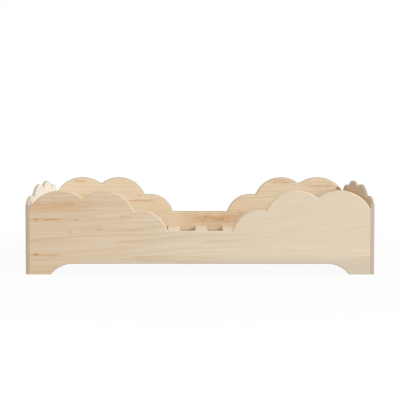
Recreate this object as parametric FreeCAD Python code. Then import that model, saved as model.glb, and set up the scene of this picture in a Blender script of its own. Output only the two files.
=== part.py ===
# Low floor bed for a small child: four cloud-topped pine boards, bolted into a box round a slatted base.
# Millimetres. The origin is on the floor under the middle of the bed. +X runs along its length, +Y to its
# back and +Z up, so the front of the bed faces -Y.
import FreeCAD, Part
import math
import os

V = FreeCAD.Vector
UP = V(0, 0, 1)

# The mattress that the bed is made for, and the room left on each side of it
mattress_length = 1400.0
mattress_width = 700.0
mattress_room = 8.0

# The four boards
board_thickness = 16.0
edge_easing = 2.0  # taken off along every free edge
notch_radius = 13.0  # rounding at the bottom of the notches between the cloud bumps

# Cloud outline of the two side boards
cloud_height = 350.0  # floor to the top of the tall bumps
entry_height = 182.0  # floor to the low edge in the middle, where the child climbs in
entry_corner_radius = 8.0  # rounding where the low edge meets the bumps
outer_bump_radius = 156.0
inner_bump_radius = 137.0
outer_bump_inset = 128.0  # end of the side board to the centre of its outer tall bump
tall_bump_spacing = 180.0  # centre to centre of the two tall bumps
low_bump_drop = 83.0  # top of the tall bumps to the top of the low one
low_bump_radius = 115.0
low_bump_spacing = 154.0  # centre of the inner tall bump to the centre of the low bump

# Cloud outline of the two end boards
end_rise = 3.0  # top of the side boards to the top of the end boards
end_bump_radius = 205.0
end_bump_spacing = 208.0  # centre to centre of the two tall bumps
corner_bump_drop = 33.0  # top of the end board to the top of its corner bumps
corner_bump_radius = 120.0
corner_bump_inset = 80.0  # edge of the end board to the centre of its corner bump

# Feet, left by a long arch under every board
leg_height = 44.0
foot_width = 104.0  # outer corner of the bed to the arch, along the floor
arch_radius = 118.0

# Slatted base: slats that cross the bed and lie on a rail along each side board
sleeping_height = 110.0  # floor to the top of the slats
slat_count = 11
slat_width = 58.0
slat_thickness = 18.0
slat_edge_easing = 2.0
head_slat_margin = 24.0  # head board to the nearest slat
foot_slat_margin = 11.0  # foot board to the nearest slat
slat_end_gap = 2.0  # side board to the end of a slat
rail_width = 30.0
rail_height = 40.0
rail_edge_easing = 2.0
rail_end_gap = 10.0  # end board to the end of a rail

# Corner joints: bolts through the end boards into cross nuts in the side boards, with dowels between them
bolt_sides = 12  # flats round bolts, nuts and dowels, and round their holes
fit_clearance = 0.1  # all round a fastener in its hole
head_recess = 0.5  # heads lie this far under the wood's surface
bolt_heights = (130.0, 225.0)
bolt_radius = 3.0
bolt_head_radius = 6.0
bolt_head_depth = 3.3
bolt_key_width = 4.0  # across the flats of the hexagon socket
bolt_key_depth = 2.5
bolt_past_nut = 8.0  # nut's centre to the tip of the bolt
nut_setback = 34.0  # end of the side board to the nut's centre
nut_radius = 5.0
nut_cover = 2.0  # wood in front of the nut, and nut depth below the inner face
dowel_heights = (70.0, 178.0)
dowel_radius = 4.0
dowel_depth = 18.0  # into the end of the side board
dowel_cover = 6.0  # wood left outside the dowel in the end board

# Wood screws, all countersunk
screw_sides = 8  # flats round a screw and its hole
screw_radius = 2.0
screw_head_radius = 4.0
screw_head_depth = 2.4
screw_tip_length = 4.0
rail_screw_bite = 10.0  # into the side board
slat_screw_bite = 17.0  # into the rail

# Sizes that follow
inner_length = mattress_length + 2 * mattress_room
inner_width = mattress_width + 2 * mattress_room
outer_width = inner_width + 2 * board_thickness
side_half = inner_length / 2
end_half = outer_width / 2
board_middle = inner_width / 2 + board_thickness / 2  # bed's centre line to mid-thickness of a side board
slat_bottom = sleeping_height - slat_thickness
slat_pitch = (inner_length - head_slat_margin - foot_slat_margin - slat_width) / (slat_count - 1)
first_slat = -side_half + head_slat_margin + slat_width / 2
slat_places = [first_slat + number * slat_pitch for number in range(slat_count)]
rail_middle = inner_width / 2 - rail_width / 2
rail_screw_height = slat_bottom - rail_height / 2
cut_over = 1.0  # how far a cutting tool stands out of the wood
same_place = 0.01  # for telling which edges lie in one plane
hexagon_sides = 6


# Outlines are drawn in the XZ plane, as half of a shape that is symmetrical about X = 0

def edge_between(start, centre, end):
    """A straight edge, or an arc of under a half circle if it has a centre."""
    if centre is None:
        return Part.LineSegment(start, end).toShape()
    middle = centre + ((start + end) * 0.5 - centre).normalize() * (start - centre).Length
    return Part.Arc(start, middle, end).toShape()


def mirrored(point):
    return None if point is None else V(-point.x, point.y, point.z)


def closed_outline(half, top_centre=None):
    """A face from half of its outline: corners from the bottom to the top, each with the centre of the arc
    that leads to the next one, or None. top_centre is for an arc that joins the two halves at the top."""
    right = [(a, centre, b) for (a, centre), (b, _) in zip(half, half[1:])]
    left = [(mirrored(b), mirrored(centre), mirrored(a)) for a, centre, b in reversed(right)]
    top = (right[-1][2], top_centre, left[0][0])
    bottom = (left[-1][2], None, right[0][0])
    return Part.Face(Part.Wire([edge_between(*part) for part in right + [top] + left + [bottom]]))


def bump_centre(place, height, radius):
    return V(place, 0, height - radius)


def height_on_bump(centre, radius, place):
    """Height of a bump's outline above one place of the board."""
    return centre.z + math.sqrt(radius ** 2 - (place - centre.x) ** 2)


def notch(outer, outer_radius, inner, inner_radius):
    """The small arc that rounds the notch between two bumps: where it leaves the outer bump, its centre and
    where it meets the inner bump. Its circle touches both bumps from above."""
    to_outer = outer_radius + notch_radius
    to_inner = inner_radius + notch_radius
    apart = inner - outer
    along = (to_outer ** 2 - to_inner ** 2 + apart.Length ** 2) / (2 * apart.Length)
    direction = apart / apart.Length
    above = V(direction.z, 0, -direction.x)
    centre = outer + direction * along + above * math.sqrt(to_outer ** 2 - along ** 2)
    leaves = outer + (centre - outer) * (outer_radius / to_outer)
    meets = inner + (centre - inner) * (inner_radius / to_inner)
    return leaves, centre, meets


def foot_outline(board_end, width):
    """From the arch's crown to the board's end on the floor."""
    inner = board_end - width
    crown = inner - math.sqrt(arch_radius ** 2 - (arch_radius - leg_height) ** 2)
    return [
        (V(crown, 0, leg_height), V(crown, 0, leg_height - arch_radius)),
        (V(inner, 0, 0), None),
        (V(board_end, 0, 0), None),
    ]


def side_outline():
    """Two tall bumps and a low one at each end, and the low entry between them."""
    outer = bump_centre(side_half - outer_bump_inset, cloud_height, outer_bump_radius)
    inner = bump_centre(outer.x - tall_bump_spacing, cloud_height, inner_bump_radius)
    low = bump_centre(inner.x - low_bump_spacing, cloud_height - low_bump_drop, low_bump_radius)
    valley = notch(outer, outer_bump_radius, inner, inner_bump_radius)
    step = notch(inner, inner_bump_radius, low, low_bump_radius)
    to_corner = low_bump_radius + entry_corner_radius
    corner_rise = entry_height + entry_corner_radius - low.z
    corner = low + V(-math.sqrt(to_corner ** 2 - corner_rise ** 2), 0, corner_rise)
    corner_leaves = low + (corner - low) * (low_bump_radius / to_corner)
    return closed_outline(foot_outline(side_half, foot_width - board_thickness) + [
        (V(side_half, 0, height_on_bump(outer, outer_bump_radius, side_half)), outer),
        (valley[0], valley[1]),
        (valley[2], inner),
        (step[0], step[1]),
        (step[2], low),
        (corner_leaves, corner),
        (V(corner.x, 0, entry_height), None),
    ])


def end_outline():
    """Two tall bumps in the middle and a lower one at each corner."""
    height = cloud_height + end_rise
    corner = bump_centre(end_half - corner_bump_inset, height - corner_bump_drop, corner_bump_radius)
    tall = bump_centre(end_bump_spacing / 2, height, end_bump_radius)
    step = notch(corner, corner_bump_radius, tall, end_bump_radius)
    valley = notch(tall, end_bump_radius, mirrored(tall), end_bump_radius)
    return closed_outline(foot_outline(end_half, foot_width) + [
        (V(end_half, 0, height_on_bump(corner, corner_bump_radius, end_half)), corner),
        (step[0], step[1]),
        (step[2], tall),
        (valley[0], valley[1]),
    ], top_centre=valley[1])


def eased(solid, size, is_free):
    """Takes the sharpness off the edges that is_free picks."""
    return solid.makeChamfer(size, [edge for edge in solid.Edges if is_free(edge)])


def lies_in_face(edge):
    """True of an edge of a board's two broad faces, which the outline's plane is parallel to."""
    return edge.BoundBox.YLength < same_place


def is_board_end(edge):
    """True of an upright edge at the end of a side board, which butts against an end board."""
    return abs(edge.CenterOfMass.x) > side_half - same_place


# Turned pieces are profiles of (radius, depth), and their depth runs along a direction from a place

def ring_corners(radius, depth, sides):
    """The corners of one ring, or a single point where the radius is 0."""
    turns = [2 * math.pi * side / sides for side in range(sides)] if radius else [0]
    return [V(radius * math.cos(turn), radius * math.sin(turn), depth) for turn in turns]


def flat_face(corners):
    return Part.Face(Part.makePolygon(corners + corners[:1]))


def turned(profile, sides, place, direction):
    """A many-sided solid through the profile's rings, with a flat start and a flat or pointed end."""
    rings = [ring_corners(radius, depth, sides) for radius, depth in profile]
    faces = [flat_face(ring) for ring in (rings[0], rings[-1]) if len(ring) == sides]
    for near, far in zip(rings, rings[1:]):
        for side in range(sides):
            far_edge = far if len(far) == 1 else [far[side], far[side - 1]]
            faces.append(flat_face([near[side - 1], near[side]] + far_edge))
    solid = Part.Solid(Part.Shell(faces))
    solid.Placement = FreeCAD.Placement(place, FreeCAD.Rotation(UP, direction))
    return solid


def hole_for(profile, sides, place, direction):
    """The hole that a turned piece lies in, with clearance all round. Its near end runs on, at the same
    slope, until it stands out of the wood."""
    wall = [(radius + fit_clearance if radius else 0, depth) for radius, depth in profile]
    wall[-1] = (wall[-1][0], wall[-1][1] + fit_clearance)
    (near_radius, near_depth), (next_radius, next_depth) = wall[:2]
    slope = (next_radius - near_radius) / (next_depth - near_depth)
    run_on = head_recess + cut_over
    wall[0] = (near_radius - slope * run_on, near_depth - run_on)
    return turned(wall, sides, place, direction)


def screw_profile(length):
    return [
        (screw_head_radius, 0),
        (screw_radius, screw_head_depth),
        (screw_radius, length - screw_tip_length),
        (0, length),
    ]


def bolt_length():
    return board_thickness - head_recess + nut_setback + bolt_past_nut


def bolt_profile():
    return [
        (bolt_head_radius, 0),
        (bolt_radius, bolt_head_depth),
        (bolt_radius, bolt_length()),
    ]


def nut_length():
    return board_thickness - 2 * nut_cover


def nut_profile():
    return [(nut_radius, 0), (nut_radius, nut_length())]


def dowel_length():
    return board_thickness - dowel_cover + dowel_depth


def dowel_profile():
    return [(dowel_radius, 0), (dowel_radius, dowel_length())]


# Where each fastener starts, and the direction that it runs in

def corners():
    return [(end, side) for end in (-1, 1) for side in (-1, 1)]


def bolt_places():
    """On the outer faces of the end boards, running inwards."""
    reach = side_half + board_thickness - head_recess
    return [
        (V(end * reach, side * board_middle, height), V(-end, 0, 0))
        for end, side in corners() for height in bolt_heights
    ]


def nut_places():
    """Under the inner faces of the side boards, running outwards."""
    reach = side_half - nut_setback
    return [
        (V(end * reach, side * (inner_width / 2 + nut_cover), height), V(0, side, 0))
        for end, side in corners() for height in bolt_heights
    ]


def dowel_places():
    """Inside the end boards, running inwards."""
    reach = side_half + board_thickness - dowel_cover
    return [
        (V(end * reach, side * board_middle, height), V(-end, 0, 0))
        for end, side in corners() for height in dowel_heights
    ]


def rail_screw_places():
    """On the inner faces of the rails, in every other gap between slats from either end, running outwards."""
    gaps = [(near + far) / 2 for near, far in zip(slat_places, slat_places[1:])]
    half = len(gaps) // 2
    reach = inner_width / 2 - rail_width + head_recess
    return [
        (V(gap, side * reach, rail_screw_height), V(0, side, 0))
        for side in (-1, 1) for gap in gaps[:half:2] + gaps[half::2]
    ]


def slat_screw_places():
    """On top of both ends of every slat, running down into the rails."""
    return [
        (V(place, side * rail_middle, sleeping_height - head_recess), -UP)
        for place in slat_places for side in (-1, 1)
    ]


rail_screw = screw_profile(rail_width - head_recess + rail_screw_bite)
slat_screw = screw_profile(slat_thickness - head_recess + slat_screw_bite)


def dowel_hole(place, direction):
    """Blind at both ends, so nothing stands out of the wood."""
    radius = dowel_radius + fit_clearance
    wall = [(radius, -fit_clearance), (radius, dowel_length() + fit_clearance)]
    return turned(wall, bolt_sides, place, direction)


def nut_hole(place, direction):
    """Blind, from the inner face of a side board, as deep as its cross nut goes."""
    radius = nut_radius + fit_clearance
    wall = [(radius, -nut_cover - cut_over), (radius, nut_length() + fit_clearance)]
    return turned(wall, bolt_sides, place, direction)


bolt_holes = [hole_for(bolt_profile(), bolt_sides, *at) for at in bolt_places()]
dowel_holes = [dowel_hole(*at) for at in dowel_places()]
nut_holes = [nut_hole(*at) for at in nut_places()]
rail_screw_holes = [hole_for(rail_screw, screw_sides, *at) for at in rail_screw_places()]
slat_screw_holes = [hole_for(slat_screw, screw_sides, *at) for at in slat_screw_places()]


def drilled(piece, holes):
    """The piece with the holes that reach it."""
    return piece.cut([hole for hole in holes if hole.BoundBox.intersect(piece.BoundBox)])


# Wooden pieces

def side_board(side):
    """The front board, side -1, or the back board, side 1."""
    board = side_outline().extrude(V(0, board_thickness, 0))
    board = eased(board, edge_easing, lambda edge: lies_in_face(edge) and not is_board_end(edge))
    board.translate(V(0, side * board_middle - board_thickness / 2, 0))
    return drilled(board, bolt_holes + dowel_holes + nut_holes + rail_screw_holes)


def end_board(end):
    """The board at the head, end -1, or at the foot, end 1."""
    board = eased(end_outline().extrude(V(0, board_thickness, 0)), edge_easing, lies_in_face)
    board.translate(V(0, -board_thickness / 2, 0))
    board.rotate(V(0, 0, 0), UP, 90)
    board.translate(V(end * (side_half + board_thickness / 2), 0, 0))
    return drilled(board, bolt_holes + dowel_holes)


def slat_rail(side):
    """The rail along one side board, screwed to it, with its two inner edges eased."""
    length = inner_length - 2 * rail_end_gap
    corner = V(-length / 2, side * rail_middle - rail_width / 2, slat_bottom - rail_height)
    rail = Part.makeBox(length, rail_width, rail_height, corner)
    inner_face = side * (inner_width / 2 - rail_width)
    rail = eased(rail, rail_edge_easing, lambda edge: edge.BoundBox.XLength > length / 2
                 and abs(edge.CenterOfMass.y - inner_face) < same_place)
    return drilled(rail, rail_screw_holes + slat_screw_holes)


def slat(place):
    """One slat, with its four long edges eased."""
    length = inner_width - 2 * slat_end_gap
    corner = V(place - slat_width / 2, -length / 2, slat_bottom)
    board = Part.makeBox(slat_width, length, slat_thickness, corner)
    board = eased(board, slat_edge_easing, lambda edge: edge.BoundBox.YLength > length / 2)
    return drilled(board, slat_screw_holes)


# Fasteners

def corner_bolt(place, direction):
    """A countersunk bolt with a hexagon socket in its head."""
    bolt = turned(bolt_profile(), bolt_sides, place, direction)
    radius = bolt_key_width / 2 / math.cos(math.pi / hexagon_sides)
    socket = [(radius, -cut_over), (radius, bolt_key_depth)]
    return bolt.cut(turned(socket, hexagon_sides, place, direction))


def cross_nut(place, direction):
    """A barrel nut, with the hole that its bolt passes through."""
    return drilled(turned(nut_profile(), bolt_sides, place, direction), bolt_holes)


def export(name, solids):
    """Writes one node: a single solid, or a group of equal fasteners."""
    shape = solids[0] if len(solids) == 1 else Part.makeCompound(solids)
    shape.exportStep(os.path.join("parts", name + ".step"))


os.makedirs("parts", exist_ok=True)
export("front_side_board", [side_board(-1)])
export("back_side_board", [side_board(1)])
export("head_end_board", [end_board(-1)])
export("foot_end_board", [end_board(1)])
export("front_slat_rail", [slat_rail(-1)])
export("back_slat_rail", [slat_rail(1)])
for number, place in enumerate(slat_places, start=1):
    export("slat_%02d" % number, [slat(place)])
export("corner_bolts", [corner_bolt(*at) for at in bolt_places()])
export("cross_nuts", [cross_nut(*at) for at in nut_places()])
export("corner_dowels", [turned(dowel_profile(), bolt_sides, *at) for at in dowel_places()])
export("rail_screws", [turned(rail_screw, screw_sides, *at) for at in rail_screw_places()])
export("slat_screws", [turned(slat_screw, screw_sides, *at) for at in slat_screw_places()])
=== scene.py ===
# %% [markdown]
# # A cloud bed in pine
#
# The object is a low floor bed for a small child: four pine boards with cloud-shaped tops, bolted
# into a box round a slatted base. The construction comes from a packed CAD model, which is loaded
# first and stays where it is. This lesson gives it its looks: boards with softly rounded edges,
# worked out with numpy, a pine that is solid right through, small steel fasteners, and a bright
# plain studio.

# %% Load the frame
import math

import bpy
import numpy as np
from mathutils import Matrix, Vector
from mathutils.geometry import tessellate_polygon


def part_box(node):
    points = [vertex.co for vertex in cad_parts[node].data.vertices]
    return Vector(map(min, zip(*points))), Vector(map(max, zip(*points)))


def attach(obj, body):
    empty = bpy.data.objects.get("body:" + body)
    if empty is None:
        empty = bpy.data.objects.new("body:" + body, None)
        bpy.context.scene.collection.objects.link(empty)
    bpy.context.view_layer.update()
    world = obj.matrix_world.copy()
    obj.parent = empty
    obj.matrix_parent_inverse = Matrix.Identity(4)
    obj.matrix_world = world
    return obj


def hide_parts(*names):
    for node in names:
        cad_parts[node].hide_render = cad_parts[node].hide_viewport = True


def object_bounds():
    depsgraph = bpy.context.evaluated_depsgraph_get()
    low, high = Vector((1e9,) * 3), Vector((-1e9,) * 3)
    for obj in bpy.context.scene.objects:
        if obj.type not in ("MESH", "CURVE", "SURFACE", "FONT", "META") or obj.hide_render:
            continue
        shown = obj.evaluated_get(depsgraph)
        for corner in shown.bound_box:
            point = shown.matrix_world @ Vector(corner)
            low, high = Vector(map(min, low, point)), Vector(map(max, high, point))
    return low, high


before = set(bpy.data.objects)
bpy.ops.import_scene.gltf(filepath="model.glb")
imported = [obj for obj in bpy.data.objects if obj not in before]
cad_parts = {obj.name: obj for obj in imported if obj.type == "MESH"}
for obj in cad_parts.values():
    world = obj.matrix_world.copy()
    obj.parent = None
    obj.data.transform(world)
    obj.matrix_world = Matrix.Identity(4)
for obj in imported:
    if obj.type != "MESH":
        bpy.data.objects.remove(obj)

cad_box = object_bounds()
print("CAD box, in metres:", [[round(value, 4) for value in corner] for corner in cad_box])

# %% [markdown]
# ## The outline of a cloud board
#
# On the real bed each board is sawn along an outline of round bumps with small hollows between
# them, and every corner is sanded soft, so the outline is nothing but arcs with straight runs
# between them. A point in the plane of a board is handy as a complex number, x + i z: turning about
# a centre is then a multiplication. A curve object could be traced by hand instead, but arcs worked
# out from a few radii stay exact.

# %% Arcs
ARC_STEP = math.radians(2.5)  # the most that an arc turns from point to point


def arc(centre, start, end):
    """Points on the arc round a centre, and the outward normals there. The turn is the angle from
    start to end, under a half circle. A left turn is a bump, whose normals point away from its
    centre. A right turn is a hollow, whose normals point at it."""
    turn = np.angle((end - centre) / (start - centre))
    steps = max(2, math.ceil(abs(turn) / ARC_STEP))
    points = centre + (start - centre) * np.exp(1j * turn * np.linspace(0, 1, steps + 1))
    normals = np.sign(turn) * (points - centre) / abs(start - centre)
    return points, normals


def mirrored(arcs):
    """The same arcs on the other side of the board's middle, where x + i z is -x + i z, in the
    order that carries on round the outline."""
    return [tuple(-np.conj(point) for point in (centre, end, start))
            for centre, start, end in reversed(arcs)]


def outline(half, top=()):
    """Points and normals all round a board, from half of its arcs and any arc across the middle of
    its top."""
    arcs = half + list(top) + mirrored(half)
    points, normals = map(np.concatenate, zip(*(arc(*part) for part in arcs)))
    is_new = abs(points - np.roll(points, 1)) > 1e-7
    return points[is_new], normals[is_new]


print("points on a quarter circle:", len(arc(0, 1, 1j)[0]))

# %% [markdown]
# Between two bumps the saw leaves a small round hollow that touches both. The feet and the
# shoulders are the same on all four boards, and their corners are small circles that touch both
# neighbours: a circle that touches a straight edge has its centre one radius inside it, and one
# that touches an arc has its centre at the sum or the difference of the two radii from the arc's
# centre.

# %% Hollows, feet and shoulders
CORNER = 0.005  # radius of a foot's corners, in the plane of a board
SHOULDER_CORNER = 0.009
LEG_HEIGHT = 0.044
FOOT_WIDTH = 0.104
ARCH_RADIUS = 0.118


def hollow(outer, outer_radius, inner, inner_radius, radius):
    """The arc between two bumps: a circle of this radius that touches both from above. Its centre
    is as far from each bump's centre as the two radii together."""
    to_outer = outer_radius + radius
    to_inner = inner_radius + radius
    apart = inner - outer
    along = (to_outer ** 2 - to_inner ** 2 + abs(apart) ** 2) / (2 * abs(apart))
    centre = outer + apart / abs(apart) * complex(along, -math.sqrt(to_outer ** 2 - along ** 2))
    leaves = outer + (centre - outer) * outer_radius / to_outer
    meets = inner + (centre - inner) * inner_radius / to_inner
    return centre, leaves, meets


def foot(board_half, foot_width):
    """The arch's end, then the inner and the outer corner of a foot. The inner corner's centre lies
    one corner radius above the floor, and the radii of arch and corner together from the arch's
    centre."""
    inner = board_half - foot_width
    crown = inner - math.sqrt(ARCH_RADIUS ** 2 - (ARCH_RADIUS - LEG_HEIGHT) ** 2)
    arch = complex(crown, LEG_HEIGHT - ARCH_RADIUS)
    reach = ARCH_RADIUS + CORNER
    heel = complex(crown + math.sqrt(reach ** 2 - (CORNER - arch.imag) ** 2), CORNER)
    leaves = arch + (heel - arch) * ARCH_RADIUS / reach
    toe = complex(board_half - CORNER, CORNER)
    return [
        (arch, complex(crown, LEG_HEIGHT), leaves),
        (heel, leaves, heel - 1j * CORNER),
        (toe, toe - 1j * CORNER, toe + CORNER),
    ]


def shoulder(board_half, bump, radius):
    """The corner between the upright end of a board and its outermost bump. Its circle lies inside
    the bump, so its centre is the difference of the two radii from the bump's centre."""
    place = board_half - SHOULDER_CORNER
    reach = radius - SHOULDER_CORNER
    centre = complex(place, bump.imag + math.sqrt(reach ** 2 - (place - bump.real) ** 2))
    return centre, centre + SHOULDER_CORNER, bump + (centre - bump) * radius / reach


arch_end = foot(cad_box[1].y, FOOT_WIDTH)[0][0].real
print("an end board's arch starts to bend", round(arch_end, 3), "m from its middle")

# %% [markdown]
# A side board has two tall bumps and a low one at each end, and a low straight edge between them,
# where the child climbs in. Past its top, the outermost bump turns down to the board's end in a
# tighter arc. Only half of the outline is written down, because the other half is its mirror image.

# %% The side boards' outline
NOTCH = 0.013  # radius at the bottom of the hollows between bumps
OUTER_BUMP, INNER_BUMP, LOW_BUMP = 0.156, 0.137, 0.115  # radii
TALL_BUMP_SPACING, LOW_BUMP_SPACING = 0.180, 0.154
OUTER_BUMP_INSET = 0.128
OUTER_BUMP_END = 0.145  # radius of the tighter arc down to the board's end
LOW_BUMP_DROP = 0.083
ENTRY_HEIGHT = 0.182
ENTRY_CORNER = 0.008


def side_cloud(half, thickness, height):
    """Arcs from the arch over the foot, the shoulder and the three bumps to the low entry edge. The
    entry's corner touches the low bump from outside, so its centre is the sum of the two radii from
    the bump's centre."""
    outer = complex(half - OUTER_BUMP_INSET, height - OUTER_BUMP)
    inner = complex(outer.real - TALL_BUMP_SPACING, height - INNER_BUMP)
    low = complex(inner.real - LOW_BUMP_SPACING, height - LOW_BUMP_DROP - LOW_BUMP)
    valley = hollow(outer, OUTER_BUMP, inner, INNER_BUMP, NOTCH)
    step = hollow(inner, INNER_BUMP, low, LOW_BUMP, NOTCH)
    reach = LOW_BUMP + ENTRY_CORNER
    rise = ENTRY_HEIGHT + ENTRY_CORNER - low.imag
    entry = low + complex(-math.sqrt(reach ** 2 - rise ** 2), rise)
    entry_meets = low + (entry - low) * LOW_BUMP / reach
    top = complex(outer.real, height)
    outer_end = top - 1j * OUTER_BUMP_END
    end = shoulder(half, outer_end, OUTER_BUMP_END)
    return outline(foot(half, FOOT_WIDTH - thickness) + [
        end, (outer_end, end[2], top), (outer, top, valley[1]),
        valley, (inner, valley[2], step[1]),
        step, (low, step[2], entry_meets),
        (entry, entry_meets, entry - 1j * ENTRY_CORNER),
    ])


front_low, front_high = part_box("front_side_board")
side_half = front_high.x
thickness = front_high.y - front_low.y
side_shape = side_cloud(side_half, thickness, front_high.z)
print("side board:", len(side_shape[0]), "outline points, top at", round(side_shape[0].imag.max(), 4))

# %% [markdown]
# An end board has two wide bumps in the middle and a lower one at each corner. It stands outside
# the ends of the side boards, so a foot looks equally wide from both sides when a side board's foot
# leaves out the end board's thickness. The valley in the middle is the one arc that crosses from
# one half to the other.

# %% The end boards' outline
END_BUMP, CORNER_BUMP = 0.205, 0.120  # radii
END_BUMP_SPACING = 0.208
CORNER_BUMP_INSET = 0.080
CORNER_BUMP_DROP = 0.033
END_HEIGHT = 0.353  # top of the wide bumps


def end_cloud(half, height):
    """Arcs from the arch over the foot and the corner bump to the wide bump, and the valley across
    the middle."""
    corner = complex(half - CORNER_BUMP_INSET, height - CORNER_BUMP_DROP - CORNER_BUMP)
    tall = complex(END_BUMP_SPACING / 2, height - END_BUMP)
    step = hollow(corner, CORNER_BUMP, tall, END_BUMP, NOTCH)
    valley = hollow(tall, END_BUMP, -tall.conjugate(), END_BUMP, NOTCH)
    end = shoulder(half, corner, CORNER_BUMP)
    return outline(foot(half, FOOT_WIDTH) + [
        end, (corner, end[2], step[1]),
        step, (tall, step[2], valley[1]),
    ], top=[valley])


end_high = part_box("foot_end_board")[1]
end_half = end_high.y
end_reach = end_high.x
end_shape = end_cloud(end_half, END_HEIGHT)
print("end board:", len(end_shape[0]), "outline points, top at", round(end_shape[0].imag.max(), 4))

# %% [markdown]
# ## From an outline to a board
#
# A router takes the sharpness off every free edge of the sawn board. In numbers that is a profile
# carried along a path: a quarter circle, the straight edge and another quarter circle, carried
# round the outline. A Bevel modifier on an extruded outline could do it too, but here the surface
# normals are known exactly, so the wide flat faces stay flat to the eye and the rounding runs into
# them without a crease. A piece is made of patches, each with its points, its faces and the normals
# at the faces' corners, and the patches are welded at the end.

# %% Patches, and how they are welded
def grid_patch(points, normals, closed_rows=False):
    """Quads over a grid of points: each joins a point and the next in its row to the same two in
    the next row."""
    rows, columns = points.shape[:2]
    index = np.arange(rows * columns).reshape(rows, columns)
    if closed_rows:
        index = np.vstack([index, index[:1]])
    corners = [index[:-1, :-1], index[:-1, 1:], index[1:, 1:], index[1:, :-1]]
    quads = np.stack(corners, -1).reshape(-1, 4)
    return points.reshape(-1, 3), quads, normals.reshape(-1, 3)[quads]


def welded(patches):
    """Points, quads, triangles and corner normals of one mesh. Points that fall together become
    one, and a quad with two corners in one place becomes a triangle."""
    starts = np.cumsum([0] + [len(points) for points, _, _ in patches])
    cloud = np.concatenate([points for points, _, _ in patches])
    points, number = np.unique(np.round(cloud, 6), axis=0, return_inverse=True)
    number = number.reshape(-1)
    quads, triangles, quad_normals, triangle_normals = [], [], [], []
    for start, (_, faces, normals) in zip(starts, patches):
        faces = number[faces + start]
        if faces.shape[1] == 3:
            triangles.append(faces)
            triangle_normals.append(normals)
            continue
        repeated = faces == np.roll(faces, 1, axis=1)
        pinched = repeated.any(axis=1)
        quads.append(faces[~pinched])
        quad_normals.append(normals[~pinched])
        triangles.append(faces[pinched][~repeated[pinched]].reshape(-1, 3))
        triangle_normals.append(normals[pinched][~repeated[pinched]].reshape(-1, 3, 3))
    corners = [np.concatenate(found).reshape(-1, 3) for found in (quad_normals, triangle_normals)]
    return points, np.concatenate(quads), np.concatenate(triangles), np.concatenate(corners)


trial = np.zeros((3, 4, 3))
print("quads in a patch of 3 by 4 points:", len(grid_patch(trial, trial)[1]))

# %% [markdown]
# A finished piece is an ordinary mesh object at the origin, with its place in its points, so that a
# pattern in Object coordinates runs through the whole bed alike. It rides on the bed's one body and
# stands for its CAD node, which it hides.

# %% A piece from its patches
def make_piece(name, patches, material, slot, *nodes):
    """An object from patches, which stands for the CAD nodes and moves with the bed."""
    points, quads, triangles, normals = welded(patches)
    mesh = bpy.data.meshes.new(name)
    mesh.from_pydata(points.tolist(), [], quads.tolist() + triangles.tolist())
    mesh.shade_smooth()
    mesh.normals_split_custom_set(normals.tolist())
    mesh.materials.append(material)
    piece = bpy.data.objects.new(name, mesh)
    bpy.context.scene.collection.objects.link(piece)
    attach(piece, "root")
    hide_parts(*nodes)
    print(f"{name}: {len(points)} points, {2 * len(quads) + len(triangles)} triangles")
    return piece


# %% [markdown]
# Fasteners, and the holes that they lie in, are turned: a profile of radii and depths goes round an
# axis. Each stretch of the profile is a patch of its own, so the edges between stretches stay crisp
# and the rings stay smooth. A hole is the same surface seen from inside, with its faces turned
# over.

# %% Turned surfaces
RING = 48  # points round a turned piece, a multiple of 6 for the corners of a hexagon


def spokes_round(axis):
    """Two directions square to an axis, the angles round it, and its spokes:
    cos(angle) * first + sin(angle) * second. The last spoke is the first one again, so the ring
    closes."""
    first = np.cross(axis, [0.0, 0.0, 1.0] if abs(axis[2]) < 0.9 else [0.0, 1.0, 0.0])
    first = first / np.linalg.norm(first)
    second = np.cross(axis, first)
    angle = np.linspace(0, 2 * math.pi, RING + 1) % (2 * math.pi)
    return first, second, angle, np.cos(angle)[:, None] * first + np.sin(angle)[:, None] * second


def turned(profile, place, axis, inside=False):
    """Patches of a profile of (radius, depth) turned round an axis:
    place + depth * axis + radius * spoke. The normal of a stretch is its direction, turned by a
    quarter in the plane of axis and spoke."""
    place, axis = np.array(place, float), np.array(axis, float)
    spokes = spokes_round(axis)[3]
    patches = []
    for (radius, depth), (next_radius, next_depth) in zip(profile, profile[1:]):
        rings = np.array([[radius, depth], [next_radius, next_depth]])
        points = place + rings[:, None, :1] * spokes + rings[:, None, 1:] * axis
        slope = np.array([next_depth - depth, radius - next_radius])
        slope = slope / np.linalg.norm(slope)
        normals = np.broadcast_to(slope[0] * spokes + slope[1] * axis, points.shape)
        flat, quads, corners = grid_patch(points, normals)
        if inside:
            quads, corners = quads[:, ::-1], -corners[:, ::-1]
        patches.append((flat, quads, corners))
    return patches


print("quads round a plain pin:", len(turned([(1, 0), (1, 1)], (0, 0, 0), (0, 0, 1))[0][1]))

# %% [markdown]
# A board lies somewhere in the bed, so its flat outline and the depth below its face become places
# in space by three directions: to its right, up and through it.

# %% Boards and their rounded edges
EDGE_STEPS = 6  # faces across a quarter-round edge


class Board:
    """Where a board is: the middle of its lower edge on the face that it shows, and the directions
    to its right, up and through it."""

    def __init__(self, origin, facing, up=(0, 0, 1)):
        """Through points away from where the shown face looks, and right is the cross product of up
        and facing."""
        self.origin = np.array(origin, float)
        self.through = -np.array(facing, float)
        self.up = np.array(up, float)
        self.right = np.cross(self.up, facing)

    def at(self, flat, depth):
        """origin + x * right + z * up + depth * through, for an array of flat points x + i z."""
        flat, depth = np.broadcast_arrays(flat, depth)
        parts = (flat.real, self.right), (flat.imag, self.up), (depth, self.through)
        return self.origin + sum(value[..., None] * direction for value, direction in parts)


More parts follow.
